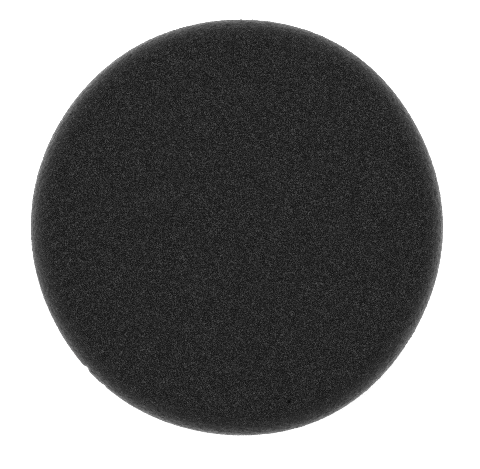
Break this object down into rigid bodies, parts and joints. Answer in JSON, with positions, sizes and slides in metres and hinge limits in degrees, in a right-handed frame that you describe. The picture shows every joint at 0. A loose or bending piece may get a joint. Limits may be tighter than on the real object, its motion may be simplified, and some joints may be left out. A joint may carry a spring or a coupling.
{
  "type": "polishing pad",
  "caption": "Flat round polishing pad of fine open-cell foam, with a rounded front edge and a loop-fabric backing that grips a hook-faced backing plate.",
  "frame": {"origin": "centre of the loop face, where the pad meets its backing plate", "axes": "+Z along the pad's axis, out of the foam working face; the pad is round, so X and Y are any two directions across it"},
  "size_m": [0.15, 0.15, 0.0275],
  "materials": {
    "foam": "matte open-cell polyurethane foam, black",
    "adhesive": "set hot-melt film, milky",
    "knit": "warp-knitted nylon ground cloth, grey",
    "loops": "brushed nylon loops, grey, with a soft sheen"
  },
  "bodies": {
    "root": {"foam_disc": "foam", "adhesive_film": "adhesive", "ground_cloth": "knit", "loop_pile": "loops"}
  },
  "joints": []
}
